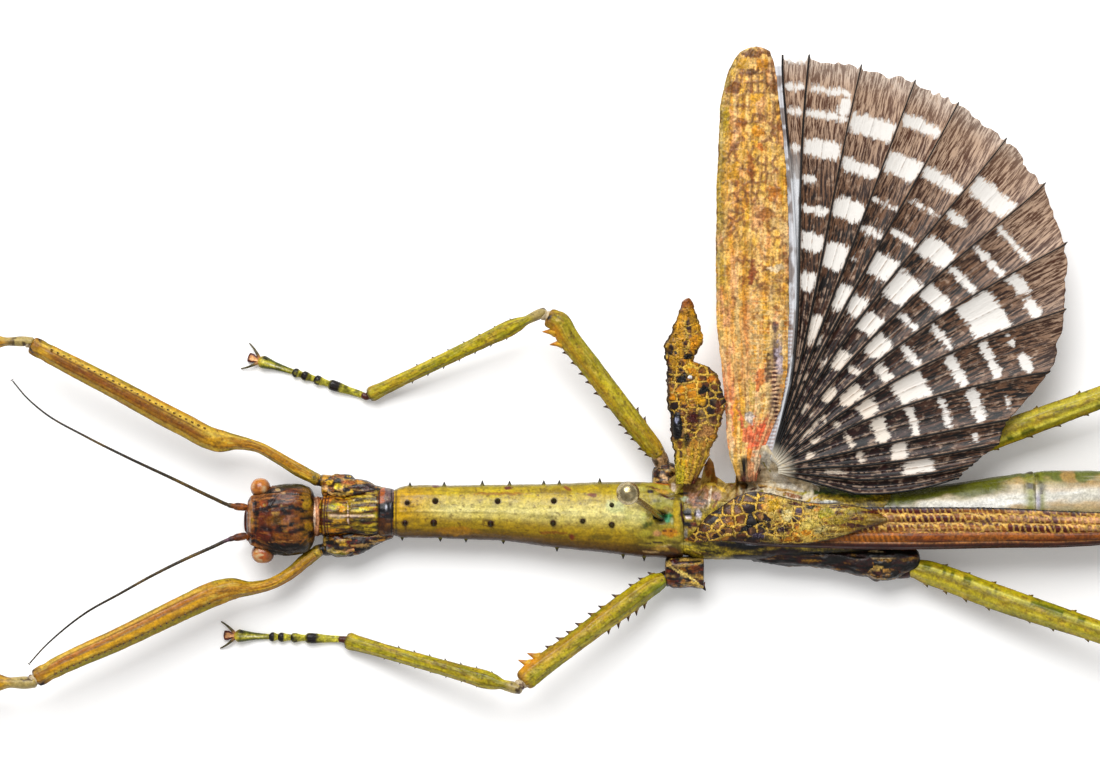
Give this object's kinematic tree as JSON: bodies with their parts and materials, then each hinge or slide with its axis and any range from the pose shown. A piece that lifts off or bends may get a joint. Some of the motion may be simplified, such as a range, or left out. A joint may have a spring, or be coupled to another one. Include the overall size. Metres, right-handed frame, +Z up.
{
  "type": "stick insect",
  "caption": "Still life-size model of a large winged stick insect, pinned, with the right wings spread and the left wings folded along the back.",
  "frame": {"origin": "on the floor under the middle of the whole part's bounding box", "axes": "+X towards the tail, +Y towards the insect's right side, where the wing is spread, +Z up out of the back"},
  "size_m": [0.2944, 0.0852, 0.0254],
  "materials": {
    "head_shell": "semi-gloss shell, mottled brown and orange",
    "eye": "glossy",
    "mouthparts": "satin",
    "antenna": "matt, fine rings",
    "prothorax_shell": "semi-gloss shell with black lines and rear band",
    "mesothorax_shell": "semi-gloss, fine grain, black prickles",
    "metathorax_shell": "semi-gloss",
    "abdomen_shell": "semi-gloss, green sides and a pale back",
    "egg_plate": "satin",
    "cercus": "satin",
    "coxa": "satin",
    "femur": "semi-gloss, ridged, black teeth",
    "tibia": "semi-gloss, ridged",
    "tarsus": "satin, dark joints and claws",
    "fore_wing": "leathery, raised yellow veins over brown cells",
    "wing_front": "parchment-like, mottled orange and brown",
    "wing_fan": "thin film, dark cells and off-white windows",
    "pin_metal": "bright metal with a ball head"
  },
  "bodies": {
    "root": {"head": "head_shell", "eye_right": "eye", "eye_left": "eye", "mouthparts": "mouthparts", "antenna_right": "antenna", "antenna_left": "antenna", "prothorax": "prothorax_shell", "mesothorax": "mesothorax_shell", "metathorax": "metathorax_shell", "abdomen_2": "abdomen_shell", "abdomen_3": "abdomen_shell", "abdomen_4": "abdomen_shell", "abdomen_5": "abdomen_shell", "abdomen_6": "abdomen_shell", "abdomen_7": "abdomen_shell", "abdomen_8": "abdomen_shell", "abdomen_9": "abdomen_shell", "abdomen_10": "abdomen_shell", "operculum": "egg_plate", "cercus_right": "cercus", "cercus_left": "cercus", "leg_fore_right_coxa": "coxa", "leg_fore_right_femur": "femur", "leg_fore_right_tibia": "tibia", "leg_fore_right_tarsus": "tarsus", "leg_fore_left_coxa": "coxa", "leg_fore_left_femur": "femur", "leg_fore_left_tibia": "tibia", "leg_fore_left_tarsus": "tarsus", "leg_mid_right_coxa": "coxa", "leg_mid_right_femur": "femur", "leg_mid_right_tibia": "tibia", "leg_mid_right_tarsus": "tarsus", "leg_mid_left_coxa": "coxa", "leg_mid_left_femur": "femur", "leg_mid_left_tibia": "tibia", "leg_mid_left_tarsus": "tarsus", "leg_hind_right_coxa": "coxa", "leg_hind_right_femur": "femur", "leg_hind_right_tibia": "tibia", "leg_hind_right_tarsus": "tarsus", "leg_hind_left_coxa": "coxa", "leg_hind_left_femur": "femur", "leg_hind_left_tibia": "tibia", "leg_hind_left_tarsus": "tarsus", "tegmen_right": "fore_wing", "tegmen_left": "fore_wing", "hind_wing_right_front": "wing_front", "hind_wing_right_fan": "wing_fan", "hind_wing_left": "wing_front", "insect_pin": "pin_metal"}
  },
  "joints": []
}
